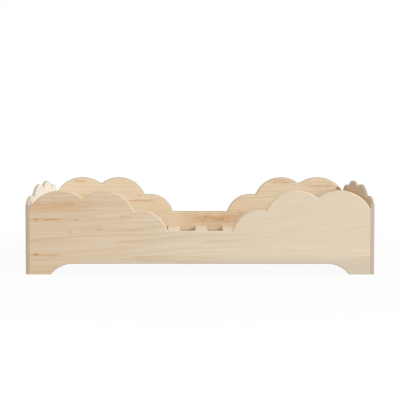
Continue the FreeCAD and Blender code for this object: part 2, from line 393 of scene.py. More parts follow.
def rounded_rim(board, points, normals, radius, thickness):
    """The edge all round a board. At angle a of the first quarter round, the surface lies
    radius * (1 - sin a) inside the outline and radius * (1 - cos a) deep, and its normal turns from
    the face's to the outline's."""
    quarter = np.linspace(0, math.pi / 2, EDGE_STEPS + 1)
    inset = np.concatenate([1 - np.sin(quarter), 1 - np.cos(quarter)])
    depth = np.concatenate([1 - np.cos(quarter), np.sin(quarter) - 1])
    from_back = np.repeat([0.0, thickness], EDGE_STEPS + 1)
    outward = np.concatenate([np.sin(quarter), np.cos(quarter)])
    through = np.concatenate([-np.cos(quarter), np.sin(quarter)])
    radius = np.broadcast_to(radius, points.shape)[:, None]
    flat = points[:, None] - normals[:, None] * radius * inset
    surface = board.at(flat, from_back + radius * depth)
    sideways = normals.real[:, None, None] * board.right + normals.imag[:, None, None] * board.up
    directions = outward[:, None] * sideways + through[:, None] * board.through
    return grid_patch(surface, directions, closed_rows=True), flat[:, 0]


print("faces across a rounded edge:", 2 * EDGE_STEPS + 1)

# %% [markdown]
# The flat faces of a board are filled with triangles that leave its drill holes open. A Boolean
# modifier could drill the holes instead, but then their rims would have to be cleaned up. Here a
# rim and the hole's turned wall are worked out from the same spokes, so they weld without a gap.

# %% Flat faces with drill holes
def flat_face(board, edge, holes, depth, facing):
    """Triangles between an edge and the rims of holes, all in one plane. A triangle turns left
    where the cross product of two of its sides is positive, and is turned over where that is the
    wrong way."""
    rims = [edge] + holes
    loops = [np.stack([rim.real, rim.imag, 0 * rim.real], -1) for rim in rims]
    faces = np.array(tessellate_polygon(loops))
    points = np.concatenate(rims)
    first, second, third = points[faces].T
    turns_left = ((second - first).conj() * (third - first)).imag > 0
    wanted = facing < 0
    faces = np.where((turns_left == wanted)[:, None], faces, faces[:, ::-1])
    normals = np.broadcast_to(facing * board.through, (len(faces), 3, 3))
    return board.at(points, np.full(len(points), depth)), faces, normals


def rim_of(place, profile, board, facing):
    """The rim of a hole in the plane of its board: place + radius * spoke, in step with the hole's
    turned wall."""
    spokes = spokes_round(-facing * board.through)[3][:-1]
    return place + profile[0][0] * (spokes @ board.right + 1j * (spokes @ board.up))


def board_patches(board, shape, radius, thickness, shown_holes=(), hidden_holes=()):
    """The rim, both faces and the holes of one board. Holes are (place, profile), in the face that
    the board shows or in the face behind it."""
    points, normals = shape
    rim, edge = rounded_rim(board, points, normals, radius, thickness)
    patches = [rim]
    for holes, depth, facing in ((shown_holes, 0.0, -1), (hidden_holes, thickness, 1)):
        rims = [rim_of(place, profile, board, facing) for place, profile in holes]
        patches.append(flat_face(board, edge, rims, depth, facing))
        for place, profile in holes:
            start = board.at(np.array(place), np.array(depth))
            patches += turned(profile, start, -facing * board.through, inside=True)
    return patches


trial_board = board_patches(Board((0, 0, 0), (0, -1, 0)), side_shape, 0.001, thickness)
print("triangles in one plain side board face:", len(trial_board[1][1]))

# %% [markdown]
# ## A pine that is solid right through
#
# The boards are glued up from pine strips. Each strip was sawn out of a different trunk, so each
# has its own growth rings. Rings are circles round a pith that runs more or less along the strip,
# and the pattern on any face is where that face cuts them: long streaks and pointed arches on the
# broad faces, arcs on the sawn ends. So the material works out the distance to a wandering pith in
# three dimensions, and no picture has to be wrapped round the corners. Nodes could be wired one by
# one, but a pine is easier to read as formulas, so a small helper turns each formula into a node.

# %% A recipe writes node trees as formulas
class Recipe:
    """A node tree as formulas: each method adds a node and returns its output."""

    def __init__(self, tree):
        """The tree belongs to a material or to the world."""
        self.tree = tree

    def fill(self, sockets, values):
        """Links a socket to another node's output, or sets it to a plain value."""
        for socket, value in zip(sockets, values):
            if isinstance(value, bpy.types.NodeSocket):
                self.tree.links.new(value, socket)
            else:
                socket.default_value = value

    def add(self, kind, *values, output=0, named=None, **settings):
        """Any node. Values fill its inputs in order, or by name, and one of its outputs comes
        back."""
        node = self.tree.nodes.new(kind)
        for setting, value in settings.items():
            setattr(node, setting, value)
        self.fill(node.inputs, values)
        named = named or {}
        self.fill([node.inputs[socket] for socket in named], named.values())
        return node.outputs[output]

    def math(self, operation, *values):
        """One operation of the Math node."""
        return self.add("ShaderNodeMath", *values, operation=operation)

    def carried_on(self, operation, first, *others):
        """One operation, carried on from value to value."""
        for other in others:
            first = self.math(operation, first, other)
        return first

    def sum(self, *values):
        """All values added up."""
        return self.carried_on("ADD", *values)

    def minus(self, first, second):
        """The first value less the second."""
        return self.math("SUBTRACT", first, second)

    def product(self, *values):
        """All values multiplied."""
        return self.carried_on("MULTIPLY", *values)

    def most(self, *values):
        """The largest of several values."""
        return self.carried_on("MAXIMUM", *values)

    def vector(self, x, y, z):
        """Three values as one place."""
        return self.add("ShaderNodeCombineXYZ", x, y, z)

    def parts(self, vector):
        """The three values of a place."""
        node = self.tree.nodes.new("ShaderNodeSeparateXYZ")
        self.tree.links.new(vector, node.inputs[0])
        return list(node.outputs)

    def noise(self, vector, detail=2.0, roughness=0.5):
        """Noise from 0 to 1 whose cells are one unit of the vector wide."""
        named = {"Vector": vector, "Scale": 1.0, "Detail": detail, "Roughness": roughness}
        return self.add("ShaderNodeTexNoise", named=named)

    def random(self, x, y, z):
        """Three numbers from 0 to 1 that belong to three whole numbers."""
        return self.parts(self.add("ShaderNodeTexWhiteNoise", self.vector(x, y, z), output="Color"))

    def centred(self, value, size):
        """(value - 1/2) * size, which is a swing round 0."""
        return self.product(self.minus(value, 0.5), size)

    def fade(self, value, low, high, from_value=0.0, to_value=1.0):
        """A smooth step: 3 t^2 - 2 t^3, where t is the share of the way from low to high."""
        return self.add("ShaderNodeMapRange", value, low, high, from_value, to_value,
                        interpolation_type="SMOOTHSTEP")

    def blend(self, amount, first, second):
        """Two colours mixed: (1 - amount) * first + amount * second."""
        node = self.tree.nodes.new("ShaderNodeMix")
        node.data_type = "RGBA"
        self.fill([node.inputs[0], node.inputs[6], node.inputs[7]], (amount, first, second))
        return node.outputs[2]


print("a recipe can write:", [name for name in vars(Recipe) if not name.startswith("_")])

# %% [markdown]
# A colour is written as it looks on a screen, which is how a maker compares it with the wood. A
# shader counts light instead, so each colour is first turned into linear numbers. Every material
# then ends in the same way: a colour, a roughness and a bump go into one Principled shader.

# %% Colours and new materials
def paint(red, green, blue):
    """A colour as it looks on a screen, from 0 to 255, in the linear numbers that a shader takes: a
    straight line for the darkest tones, and above it a power of 2.4."""
    values = np.array([red, green, blue]) / 255
    return (*np.where(values > 0.04045, ((values + 0.055) / 1.055) ** 2.4, values / 12.92), 1.0)


def new_material(name):
    """An empty material, a recipe for its nodes, and its shader."""
    material = bpy.data.materials.new(name)
    material.use_nodes = True
    return material, Recipe(material.node_tree), material.node_tree.nodes["Principled BSDF"]


def finish_material(material, shader, colour, roughness, bump):
    """Links what the recipe made to the shader."""
    for socket, output in (("Base Color", colour), ("Roughness", roughness), ("Normal", bump)):
        material.node_tree.links.new(output, shader.inputs[socket])
    print(f"{material.name}: {len(material.node_tree.nodes)} nodes")
    return material


print("mid grey on a screen is", round(float(paint(128, 128, 128)[0]), 3), "to a shader")

# %% [markdown]
# A knot is where a branch left the trunk: a small disc with a dark rim, which the rings bulge
# round. It could be noise, but on the real bed the knots' places are plain to see, so each knot is
# a row of numbers: where it is, how large and how strong.

# %% Knots
KNOT_DRAWN = 0.7  # distances along the grain count for less, so a knot is longer than it is tall
KNOT_BUMPS, KNOT_UNEVEN = 1.3, 1.1  # noise cells to a radius, and their pull on its squared edge
KNOT_SHIFT = 90.0  # takes each knot's noise from another place
KNOT_OUTSIDE, KNOT_INSIDE = 1.2, 0.6  # squared radii between which a knot fades out
RIM_START, RIM_FULL = 0.4, 0.9  # squared radii between which its rim gets dark
OWN_RINGS, OWN_RINGS_SHARE = 3.0, 0.35  # a knot's own rings to a radius, and how dark they are
PUSH_DRAWN, PUSH_FADE = 0.15, -0.16  # its push: the reach along the grain, and how it dies away


def knot(recipe, along, over, place, height, radius, strength):
    """How much of a point is knot, how much is its dark rim or one of its own rings, and how far
    the board's rings are pushed aside. The square of the distance, in radii, is counted a little
    shorter along the grain, and noise makes it uneven. The knot's own rings are the fraction of
    three times its root."""
    run = recipe.product(recipe.minus(along, place), KNOT_DRAWN / radius)
    rise = recipe.product(recipe.minus(over, height), 1 / radius)
    cells = (recipe.product(distance, KNOT_BUMPS) for distance in (run, rise))
    uneven = recipe.centred(recipe.noise(recipe.vector(*cells, KNOT_SHIFT * place)), KNOT_UNEVEN)
    square = recipe.sum(recipe.product(run, run), recipe.product(rise, rise), uneven)
    core = recipe.product(recipe.fade(square, KNOT_OUTSIDE, KNOT_INSIDE), strength)
    rings = recipe.math("FRACT", recipe.product(recipe.math("SQRT", square), OWN_RINGS))
    dark = recipe.sum(recipe.fade(square, RIM_START, RIM_FULL), recipe.product(rings, OWN_RINGS_SHARE))
    wide = recipe.sum(recipe.product(run, run, PUSH_DRAWN), recipe.product(rise, rise))
    push = recipe.product(recipe.math("EXPONENT", recipe.product(wide, PUSH_FADE)), strength)
    return core, recipe.product(dark, core), push


print("a knot 12 mm tall is", round(12 / KNOT_DRAWN), "mm long")

# %% [markdown]
# Resin colours the wood along the grain in streaks, often from a knot. Each streak is a row of
# numbers too: a soft bar on a line that may slope and bend. A board then takes the strongest mark
# at each point.

# %% Resin streaks
def streak(recipe, along, over, place, height, length, width, slope, bend, strength):
    """strength * exp(-(run / length)^4 - (rise / width)^2), where rise is counted from a line
    through the streak's middle that slopes and bends upwards."""
    run = recipe.minus(along, place)
    line = recipe.sum(height, recipe.product(run, slope), recipe.product(run, run, bend))
    far = recipe.math("POWER", recipe.product(run, 1 / length), 4.0)
    off = recipe.math("POWER", recipe.product(recipe.minus(over, line), 1 / width), 2.0)
    return recipe.product(recipe.math("EXPONENT", recipe.product(recipe.sum(far, off), -1.0)), strength)


def marks_on(recipe, along, over, knots, streaks):
    """All knots, knot rims, pushes and streaks of a board together."""
    found = [knot(recipe, along, over, *place) for place in knots]
    cores, rims, pushes = zip(*found) if found else ([], [], [])
    stains = [streak(recipe, along, over, *place) for place in streaks]
    strongest = [recipe.most(0.0, *marks) for marks in (cores, rims, stains)]
    return *strongest, recipe.sum(0.0, *pushes)


print("one half width off its line, a streak has", round(math.exp(-1.0), 2), "of its strength")

# %% [markdown]
# The grain needs to know where a point is in the wood: along the grain, across the strips and
# through the board. These are Object coordinates in another order, so the same pine serves boards
# that run along the bed and boards that run across it. Every strip comes from another place in the
# trunk, and its pith wanders.

# %% Strips
TRUNK_LENGTH = 9.0  # how far apart along a trunk two strips may come from
PITH_BENDS, PITH_SWING = 1.3, 0.05  # bends of a pith to a metre, and how wide they swing
WAVES_ALONG, WAVES_ACROSS, WAVE_SWING = 5.0, 28.0, 0.012  # the same for small waves in the grain


class Strips:
    """A point in the glued-up wood: u along the grain, v across the strips and w from the board's
    middle; how far its surface looks along the grain, through the board and down; the number of its
    strip and its place across it; and v again, as the grain bends it."""

    def __init__(self, recipe, grain, middle, width, seed):
        """grain names the axes along the grain, across the strips and through the board, and middle
        is how far out the board's middle lies. The strip's number is v / width + 1/2, rounded
        down."""
        order = ["XYZ".index(axis) for axis in grain]
        places = recipe.parts(recipe.add("ShaderNodeTexCoord", output="Object"))
        normals = recipe.parts(recipe.add("ShaderNodeNewGeometry", output="Normal"))
        self.u, self.v, depth = (places[axis] for axis in order)
        self.w = recipe.minus(recipe.math("ABSOLUTE", depth), middle)
        looks = [recipe.math("ABSOLUTE", normals[axis]) for axis in order]
        self.looks_along, _, self.looks_through = looks
        self.looks_down = recipe.product(normals[2], -1.0)
        row = recipe.sum(recipe.product(self.v, 1 / width), 0.5)
        self.width, self.seed = width, seed
        self.number = recipe.math("FLOOR", row)
        self.side = recipe.product(recipe.minus(recipe.minus(row, self.number), 0.5), width)
        shift, self.tone, self.slant = recipe.random(self.number, seed, 2.0)
        self.own_u = recipe.sum(self.u, recipe.product(shift, TRUNK_LENGTH))
        bend = recipe.product(self.own_u, PITH_BENDS)
        bends = recipe.noise(recipe.vector(bend, self.number, seed), 1.0)
        scales = (self.own_u, WAVES_ALONG), (self.v, WAVES_ACROSS), (self.w, WAVES_ACROSS)
        self.wave = recipe.noise(recipe.vector(*(recipe.product(*scale) for scale in scales)), 2.0)
        self.wander = recipe.centred(bends, PITH_SWING)
        self.bent_v = recipe.sum(self.v, self.wander, recipe.centred(self.wave, WAVE_SWING))

    def noise(self, recipe, along, across, detail, roughness=0.5):
        """Noise that runs with the grain: so many cells to a metre along it, and so many across
        it."""
        scales = (self.own_u, along), (self.bent_v, across), (self.w, across)
        cells = recipe.vector(*(recipe.product(*scale) for scale in scales))
        return recipe.noise(cells, detail, roughness)


print("a pith bends about every", round(1 / PITH_BENDS, 2), "m, by up to", 1000 * PITH_SWING / 2, "mm")

# %% [markdown]
# A year's ring starts with pale, soft spring wood and ends in a thin line of dark, hard summer
# wood. The broad faces show rings in long lines, which get finer to the eye where the rings stand
# upright in the strip. A wave texture could draw such lines, but only real distances to a pith
# carry them over an edge.

# %% Growth rings
RING_WIDTH, NARROWEST_RING = 0.0062, 0.6  # and the narrowest as a share of that
PITH_BESIDE = 0.10  # a pith lies up to half of this to either side of its strip
PITH_BELOW, PITH_DEEPER = 0.02, 0.08  # how far below the board's middle, and how much more there may be
TAPER = 0.06  # of the trunk, from one way to the other
RING_WAVE, KNOT_PUSH = 0.006, 0.022  # how far waves and knots move a ring
SUMMER_START, SUMMER_FULL, SUMMER_ENDS = 0.30, 0.92, 0.95  # shares of a ring
FAINTEST_RING = 0.3  # as a share of the strongest


def growth_rings(recipe, wood, push):
    """Summer wood, from 0 to 1. The radius is the distance to the pith, the root of
    side^2 + depth^2, and a taper along the trunk, small waves and the push of knots are added to
    it. In every ring the summer wood comes slowly and ends at once."""
    pith_side, pith_depth, spacing = recipe.random(wood.number, wood.seed, 1.0)
    side = recipe.sum(wood.side, recipe.centred(pith_side, PITH_BESIDE), wood.wander)
    depth = recipe.sum(wood.w, recipe.product(pith_depth, PITH_DEEPER), PITH_BELOW)
    radius = recipe.math("SQRT", recipe.sum(recipe.product(side, side), recipe.product(depth, depth)))
    taper = recipe.product(wood.u, recipe.centred(wood.slant, TAPER))
    bulges = recipe.product(wood.wave, RING_WAVE), recipe.product(push, KNOT_PUSH)
    radius = recipe.sum(radius, taper, *bulges)
    width = recipe.sum(recipe.product(spacing, RING_WIDTH), RING_WIDTH * NARROWEST_RING)
    phase = recipe.math("DIVIDE", radius, width)
    ring = recipe.math("FRACT", phase)
    strength = recipe.random(recipe.math("FLOOR", phase), wood.number, 3.0)[0]
    strength = recipe.sum(recipe.product(strength, 1 - FAINTEST_RING), FAINTEST_RING)
    comes = recipe.fade(ring, SUMMER_START, SUMMER_FULL)
    ends = recipe.fade(ring, 1.0, SUMMER_ENDS)
    return recipe.product(comes, ends, strength)


ring_widths = RING_WIDTH * np.array([NARROWEST_RING, NARROWEST_RING + 1])
print("a ring is between", np.round(1000 * ring_widths, 1).tolist(), "mm wide")

# %% [markdown]
# On top of the rings come long streaks, broad clouds and fine fibres, and each strip is a little
# lighter or darker than the next. A real board is often livelier at one end than at the other, so
# the figure can calm down along the bed, while the fibres stay.

# %% Light and dark in the grain
LIVELY_END, CALM_END = -0.40, 0.35  # places along the bed between which the figure calms down
STREAK_CELLS, FIBRE_CELLS = (1.6, 110.0), (14.0, 1300.0)  # noise cells to a metre, along and across
CLOUD_CELLS = 1.1, 7.0
RING_SHARE, STREAK_SHARE, CLOUD_SHARE, FIBRE_SHARE, STRIP_SHARE = 0.40, 0.55, 0.30, 0.22, 0.10
PLAIN_SHARE = 0.20  # darkness of wood with none of these


def grain_of(recipe, wood, push, calm):
    """Summer wood, streaks, fibres, the strength of the figure, and how dark they make a point. The
    figure is rings, streaks and clouds, times its strength. The fibres and the strip's own tone are
    added to it."""
    summer = growth_rings(recipe, wood, push)
    streaky = wood.noise(recipe, *STREAK_CELLS, 3.0)
    fibre = wood.noise(recipe, *FIBRE_CELLS, 3.0, 0.6)
    scaled = (recipe.product(*scale) for scale in zip((wood.own_u, wood.v), CLOUD_CELLS))
    clouds = recipe.noise(recipe.vector(*scaled, wood.seed), 1.0)
    figure = recipe.fade(wood.u, LIVELY_END, CALM_END, 1.0, calm)
    swings = recipe.centred(streaky, STREAK_SHARE), recipe.centred(clouds, CLOUD_SHARE)
    lines = recipe.product(recipe.sum(recipe.product(summer, RING_SHARE), *swings), figure)
    plain = recipe.centred(fibre, FIBRE_SHARE), recipe.centred(wood.tone, STRIP_SHARE), PLAIN_SHARE
    return summer, streaky, fibre, figure, recipe.sum(lines, *plain)


print("on plain wood of darkness", PLAIN_SHARE, "a strong ring adds", RING_SHARE)

# %% [markdown]
# Pine is redder towards the heart of the tree, so one end of a board can be warmer than the other.
# Where the figure is calm, a grey painted shade darkens the wood near the floor.

# %% Heartwood, and painted shade near the floor
HEARTWOOD = paint(210, 172, 124)
# a grey that stands for shade, painted near the floor and on faces that look down
PAINTED_SHADE_GREY = paint(186, 181, 171)
SAP_END, HEART_END = 0.15, -0.70  # places along the bed between which the heartwood comes
HEART_LEAST, HEART_UNEVEN = 0.6, 0.8  # its strength where streaks are palest, and what they add
# where the painted shade near the floor comes in
LOW_SHADE_ABOVE, LOW_SHADE_BELOW, LOW_SHADE_SHARE = 0.080, 0.050, 0.4  # heights between which grey comes, and how much


def heartwood_and_low_shade(recipe, wood, colour, streaky, figure, heart):
    """Heartwood, uneven by the streaks, over a colour, and then a grey painted shade: one less the
    figure, times a smooth step downwards."""
    uneven = recipe.sum(recipe.product(streaky, HEART_UNEVEN), HEART_LEAST)
    ripe = recipe.product(recipe.fade(wood.u, SAP_END, HEART_END), heart, uneven)
    colour = recipe.blend(ripe, colour, HEARTWOOD)
    # painted shade near the floor, strongest at the bottom
    low = recipe.fade(wood.v, LOW_SHADE_ABOVE, LOW_SHADE_BELOW, 0.0, LOW_SHADE_SHARE)
    return recipe.blend(recipe.product(recipe.minus(1.0, figure), low), colour, PAINTED_SHADE_GREY)


print("heartwood and grey wood, linear:", np.round([HEARTWOOD[:3], PAINTED_SHADE_GREY[:3]], 2).tolist())

# %% [markdown]
# Next come the marks: resin in uneven patches, knots with their dark rims, the fine dots and dashes
# of resin canals, and the thin glue lines between strips. Each is one more colour, blended in where
# it lies.

# %% Resin, knots, canals and glue
RESIN = paint(212, 156, 96)
KNOT = paint(188, 142, 96)
KNOT_RIM = paint(128, 86, 54)
PATCH_CELLS, CANAL_CELLS = (26.0, 70.0), (70.0, 1100.0)  # noise cells to a metre, along and across
PATCH_FADE = 0.36, 0.62, 0.55, 1.1  # noise between which resin gets stronger, and from what to what
CANAL_FADE = 0.70, 0.80
RIM_SHARE, CANAL_SHARE, GLUE_SHARE = 0.6, 0.22, 0.25
GLUE_LINE = 0.0006  # half its width


def marked(recipe, wood, colour, streaky, stain, core, rim):
    """Resin, knots, canals and glue over a colour. A canal is where fine noise is highest, and a
    glue line is where a point comes near the side of its strip."""
    patches = recipe.fade(wood.noise(recipe, *PATCH_CELLS, 1.0), *PATCH_FADE)
    colour = recipe.blend(recipe.product(stain, patches, recipe.sum(streaky, 0.5)), colour, RESIN)
    colour = recipe.blend(core, colour, KNOT)
    colour = recipe.blend(recipe.product(rim, RIM_SHARE), colour, KNOT_RIM)
    canals = recipe.fade(wood.noise(recipe, *CANAL_CELLS, 0.0), *CANAL_FADE)
    colour = recipe.blend(recipe.product(canals, CANAL_SHARE), colour, KNOT)
    glue = recipe.fade(recipe.math("ABSOLUTE", wood.side), wood.width / 2 - GLUE_LINE, wood.width / 2)
    return recipe.blend(recipe.product(glue, GLUE_SHARE), colour, KNOT)


print("resin and knot, linear:", np.round([RESIN[:3], KNOT[:3]], 2).tolist())

# %% [markdown]
# Where the saw went across the grain, on the ends, the finish sinks in and the wood gets duller and
# darker. The rounded rims are blended towards a darker tone of their own, and faces that look down
# towards a grey painted shade. The surface's own normal tells these places apart, so a rounded edge
# goes from one tone to the other as softly as it turns.

# %% Rims, sawn ends, and painted shade on undersides
# a darker tone for the rounded rims
RIM_TONE = paint(184, 164, 136)
SAWN_END = paint(197, 170, 134)
EDGE_FROM, EDGE_TO = 0.98, 0.62  # how far it looks through the board, where an edge starts and ends
END_FROM, END_TO, END_SHARE = 0.45, 0.95, 0.65  # the same along the grain, and the tone's share
# the painted shade on faces that look down
DOWN_FROM, DOWN_TO, DOWN_SHARE = 0.2, 0.9, 0.75  # the same downwards


def sawn(recipe, wood, colour, edge, edge_share, end):
    """The tones of rims and ends, and a grey painted shade where a face looks down, over a colour, each
    by a smooth step of the normal, and how much of a point is an end."""
    is_edge = recipe.fade(wood.looks_through, EDGE_FROM, EDGE_TO)
    is_end = recipe.fade(wood.looks_along, END_FROM, END_TO)
    colour = recipe.blend(recipe.product(is_edge, edge_share), colour, edge)
    colour = recipe.blend(recipe.product(is_end, END_SHARE), colour, end)
    # painted shade: grey where a face looks down
    under = recipe.fade(wood.looks_down, DOWN_FROM, DOWN_TO, 0.0, DOWN_SHARE)
    return recipe.blend(under, colour, PAINTED_SHADE_GREY), is_end


turns = np.degrees(np.arccos([EDGE_FROM, EDGE_TO]))
print("an edge comes between turns of", np.round(turns).tolist(), "degrees from the face")

# %% [markdown]
# All of this makes one pine. Its finish is a thin matt coat, so the fibres and the hard summer wood
# can just be felt: they lift the surface by a fraction of a millimetre, and the coat is a little
# rougher on the fibres and on the sawn ends.

# %% The pine
LIFTS = 0.6, 0.5, 0.4  # of fibres, summer wood and knots, as shares of the height
LIFT_STRENGTH, LIFT_HEIGHT = 0.25, 0.0004
COAT_GLOSS, COAT_ROUGHNESS = 0.3, 0.46
ROUGHER = 0.16, -0.06, 0.12  # what fibres, summer wood and sawn ends add to the roughness
SKIN = 0.004  # half the depth over which an outer face's tones give way to the inner face's


def pine(name, grain, middle, strip, seed, early, late, outer=(), edge=RIM_TONE, edge_share=0.5,
         end=SAWN_END, heart=0.0, calm=1.0, knots=(), streaks=()):
    """Pine in strips of one width, laid out as for Strips; seed chooses the trunks. early and late are
    the tones of spring and summer wood, and outer holds the same two for an outer face that differs.
    edge is the tone of the rounded rims and end the tone of sawn ends, and edge_share is how much of
    the first shows. heart is how much heartwood the left end has, and calm how much figure the right
    end keeps. knots and streaks are rows of numbers."""
    material, recipe, shader = new_material(name)
    wood = Strips(recipe, grain, middle, strip, seed)
    core, rim, stain, push = marks_on(recipe, wood.u, wood.v, knots, streaks)
    summer, streaky, fibre, figure, dark = grain_of(recipe, wood, push, calm)
    if outer:
        outside = recipe.fade(wood.w, -SKIN, SKIN)
        early, late = (recipe.blend(outside, *tones) for tones in zip((early, late), outer))
        stain = recipe.product(stain, recipe.minus(1.0, outside))
    colour = heartwood_and_low_shade(recipe, wood, recipe.blend(dark, early, late), streaky, figure, heart)
    colour = marked(recipe, wood, colour, streaky, stain, core, rim)
    colour, is_end = sawn(recipe, wood, colour, edge, edge_share, end)
    lifts = (recipe.product(*lift) for lift in zip((fibre, summer, core), LIFTS))
    named = {"Strength": LIFT_STRENGTH, "Distance": LIFT_HEIGHT, "Height": recipe.sum(*lifts)}
    bump = recipe.add("ShaderNodeBump", named=named)
    changes = (recipe.product(*change) for change in zip((fibre, summer, is_end), ROUGHER))
    shader.inputs["Specular IOR Level"].default_value = COAT_GLOSS
    return finish_material(material, shader, colour, recipe.sum(*changes, COAT_ROUGHNESS), bump)


print("outer and inner tones meet over", 1000 * 2 * SKIN, "mm in the middle of a board")

# %% [markdown]
# The four boards don't match exactly, as in any real bed. The front board is warm and lively at its
# left end and pale and calm at its right end, with a few small knots that leave resin in the grain
# beside them.

# %% The front board's pine
STRIP = 0.052  # width of a glued-up strip
side_middle = end_half - thickness / 2
end_middle = end_reach - thickness / 2
FRONT_KNOTS = [  # place along the bed, height, radius, strength
    (-0.679, 0.2297, 0.006, 0.35),
    (-0.513, 0.2268, 0.005, 0.22),
    (-0.540, 0.1760, 0.006, 0.24),
    (-0.421, 0.1880, 0.006, 0.24),
    (-0.681, 0.0825, 0.007, 0.40),
]
FRONT_STREAKS = [  # place along the bed, height, half length, half width, slope, bend, strength
    (-0.630, 0.2297, 0.066, 0.005, 0.00, 0.0, 0.55),
    (-0.635, 0.0815, 0.070, 0.005, -0.04, 0.0, 0.55),
    (-0.325, 0.1890, 0.050, 0.005, 0.00, 0.0, 0.35),
    (-0.610, 0.2860, 0.170, 0.024, 0.00, 0.0, 0.48),
    (-0.540, 0.1570, 0.150, 0.002, 0.13, 0.6, 0.28),
]
front_pine = pine("front_board_pine", "XZY", side_middle, STRIP, 6.0,
                  paint(236, 221, 198), paint(205, 176, 140), edge=paint(230, 212, 186),
                  heart=0.30, calm=0.35, knots=FRONT_KNOTS, streaks=FRONT_STREAKS)

# %% [markdown]
# The back board is warmer than the front, with more resin, and its low edge has a broad warm band.
# Its rims get a darker tone.

# %% The back board's pine
BACK_KNOTS = [  # as before
    (0.683, 0.2970, 0.008, 0.85),
    (-0.300, 0.2620, 0.005, 0.30),
    (0.024, 0.1550, 0.006, 0.35),
    (0.108, 0.1410, 0.006, 0.35),
]
BACK_STREAKS = [
    (-0.592, 0.3310, 0.030, 0.005, 0.00, 0.0, 0.50),
    (-0.570, 0.2620, 0.035, 0.007, 0.00, 0.0, 0.40),
    (-0.293, 0.2330, 0.065, 0.004, 0.00, 0.0, 0.55),
    (0.085, 0.1480, 0.150, 0.030, 0.00, 0.0, 0.58),
    (0.215, 0.1720, 0.045, 0.012, 0.00, 0.0, 0.45),
    (0.397, 0.3380, 0.060, 0.004, 0.00, -1.5, 0.55),
    (0.397, 0.3230, 0.060, 0.004, 0.00, 1.5, 0.55),
    (0.587, 0.3070, 0.065, 0.006, 0.00, 0.0, 0.35),
]
back_pine = pine("back_board_pine", "XZY", side_middle, STRIP, 8.0,
                 paint(255, 238, 209), paint(228, 195, 156), edge=paint(170, 154, 128), edge_share=0.85,
                 knots=BACK_KNOTS, streaks=BACK_STREAKS)

# %% [markdown]
# The head board's inner face has the palest tones, which are painted light, and the foot board's inner
# face has dark tones, which are painted shade, with one long resin-coloured band under its bumps that
# paints more shade there. Their outer faces are alike, in plain pine tones. Their grain runs across the
# bed, which only changes the order of the axes.

# %% The end boards' pines
OUTER_TONES = paint(232, 214, 186), paint(204, 172, 132)  # spring and summer wood of the outer faces
# a resin-coloured band of painted shade on the foot board's inner face
FOOT_SHADE_STREAKS = [  # place across the bed, and the rest as before
    (0.020, 0.3010, 0.400, 0.0130, 0.00, 0.0, 0.75),
]
# the head board's inner tones: pine made paler, as painted light
head_pine = pine("head_board_pine", "YZX", end_middle, STRIP, 13.0,
                 paint(248, 244, 237), paint(233, 225, 212), outer=OUTER_TONES,
                 end=paint(190, 164, 133))
# the foot board's inner tones: pine made darker, as painted shade
foot_pine = pine("foot_board_pine", "YZX", end_middle, STRIP, 17.0,
                 paint(233, 211, 184), paint(170, 127, 91), outer=OUTER_TONES,
                 end=paint(212, 197, 179), edge=paint(176, 162, 142), edge_share=0.8,
                 streaks=FOOT_SHADE_STREAKS)

# %% [markdown]
# A rail or a dowel is one stick, so its strip is wider than it is, and no glue line runs through
# it. The dowels are beech, which is finer and browner than pine, but it too has rings and fibres,
# so it is the same recipe in other tones.

# %% The rails' pine, and the dowels' beech
ONE_STICK = 0.2  # wider than a rail or a dowel
rail_low, rail_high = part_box("back_slat_rail")
rail_middle = (rail_low.y + rail_high.y) / 2
# the rail's tones are darker than the slats', in part as painted shade in the gaps between slats, where
# the rail shows
rail_pine = pine("rail_pine", "XZY", rail_middle, ONE_STICK, 21.0,
                 paint(220, 196, 162), paint(186, 150, 110))
beech = pine("dowel_beech", "XZY", side_middle, ONE_STICK, 34.0,
             paint(221, 184, 143), paint(196, 151, 108))

# %% [markdown]
# ## The boards
#
# The side boards stand between the end boards. They show their smooth outer face, and their inner
# face has the holes of the barrel nuts. Their cloud edge is nearly half round, because a child
# leans and climbs over it, and the rounding gets smaller towards the feet. Where a side board butts
# against an end board, its edge stays sharp.

# %% Side boards
SIDE_CLOUD_EDGE, FOOT_EDGE, BUTT_EDGE = 0.0075, 0.0045, 0.0008  # radii of the rounding
CLOUD_EDGE_HEIGHT = 0.16  # from here up, the rounding has its full radius
BUTT_REACH = 0.03  # how far from a board's end it gets sharper
BOLT_HEIGHTS = (0.130, 0.225)
NUT_SETBACK = 0.034  # from the board's end to the middle of a nut
NUT_HOLE = [(0.0051, 0.0), (0.0051, 0.0141), (0.0, 0.0141)]  # radii and depths


def smooth_step(value):
    """0 below 0, 1 above 1, and 3 value^2 - 2 value^3 between."""
    value = np.clip(value, 0, 1)
    return value * value * (3 - 2 * value)


def edge_radius(points, cloud_edge):
    """A smooth step from the radius at the feet to the radius on the cloud, with the height of a
    point."""
    rise = smooth_step((points.imag - LEG_HEIGHT) / (CLOUD_EDGE_HEIGHT - LEG_HEIGHT))
    return FOOT_EDGE + (cloud_edge - FOOT_EDGE) * rise


side_radius = edge_radius(side_shape[0], SIDE_CLOUD_EDGE)
at_butt = smooth_step(1 - (side_half - abs(side_shape[0].real)) / BUTT_REACH)
side_radius = side_radius + (BUTT_EDGE - side_radius) * at_butt
nut_holes = [(complex(end * (side_half - NUT_SETBACK), height), NUT_HOLE)
             for end in (-1, 1) for height in BOLT_HEIGHTS]
for name, node, side, material in (("front_cloud_board", "front_side_board", -1, front_pine),
                                   ("back_cloud_board", "back_side_board", 1, back_pine)):
    board = Board((0, side * end_half, 0), (0, side, 0))
    patches = board_patches(board, side_shape, side_radius, thickness, hidden_holes=nut_holes)
    make_piece(name, patches, material, "pine_board", node)

# %% [markdown]
# The end boards have the countersinks of the corner bolts in their outer face. They are rounded
# less than the side boards, and least along their upright ends, which lie flush with the side
# boards' faces.

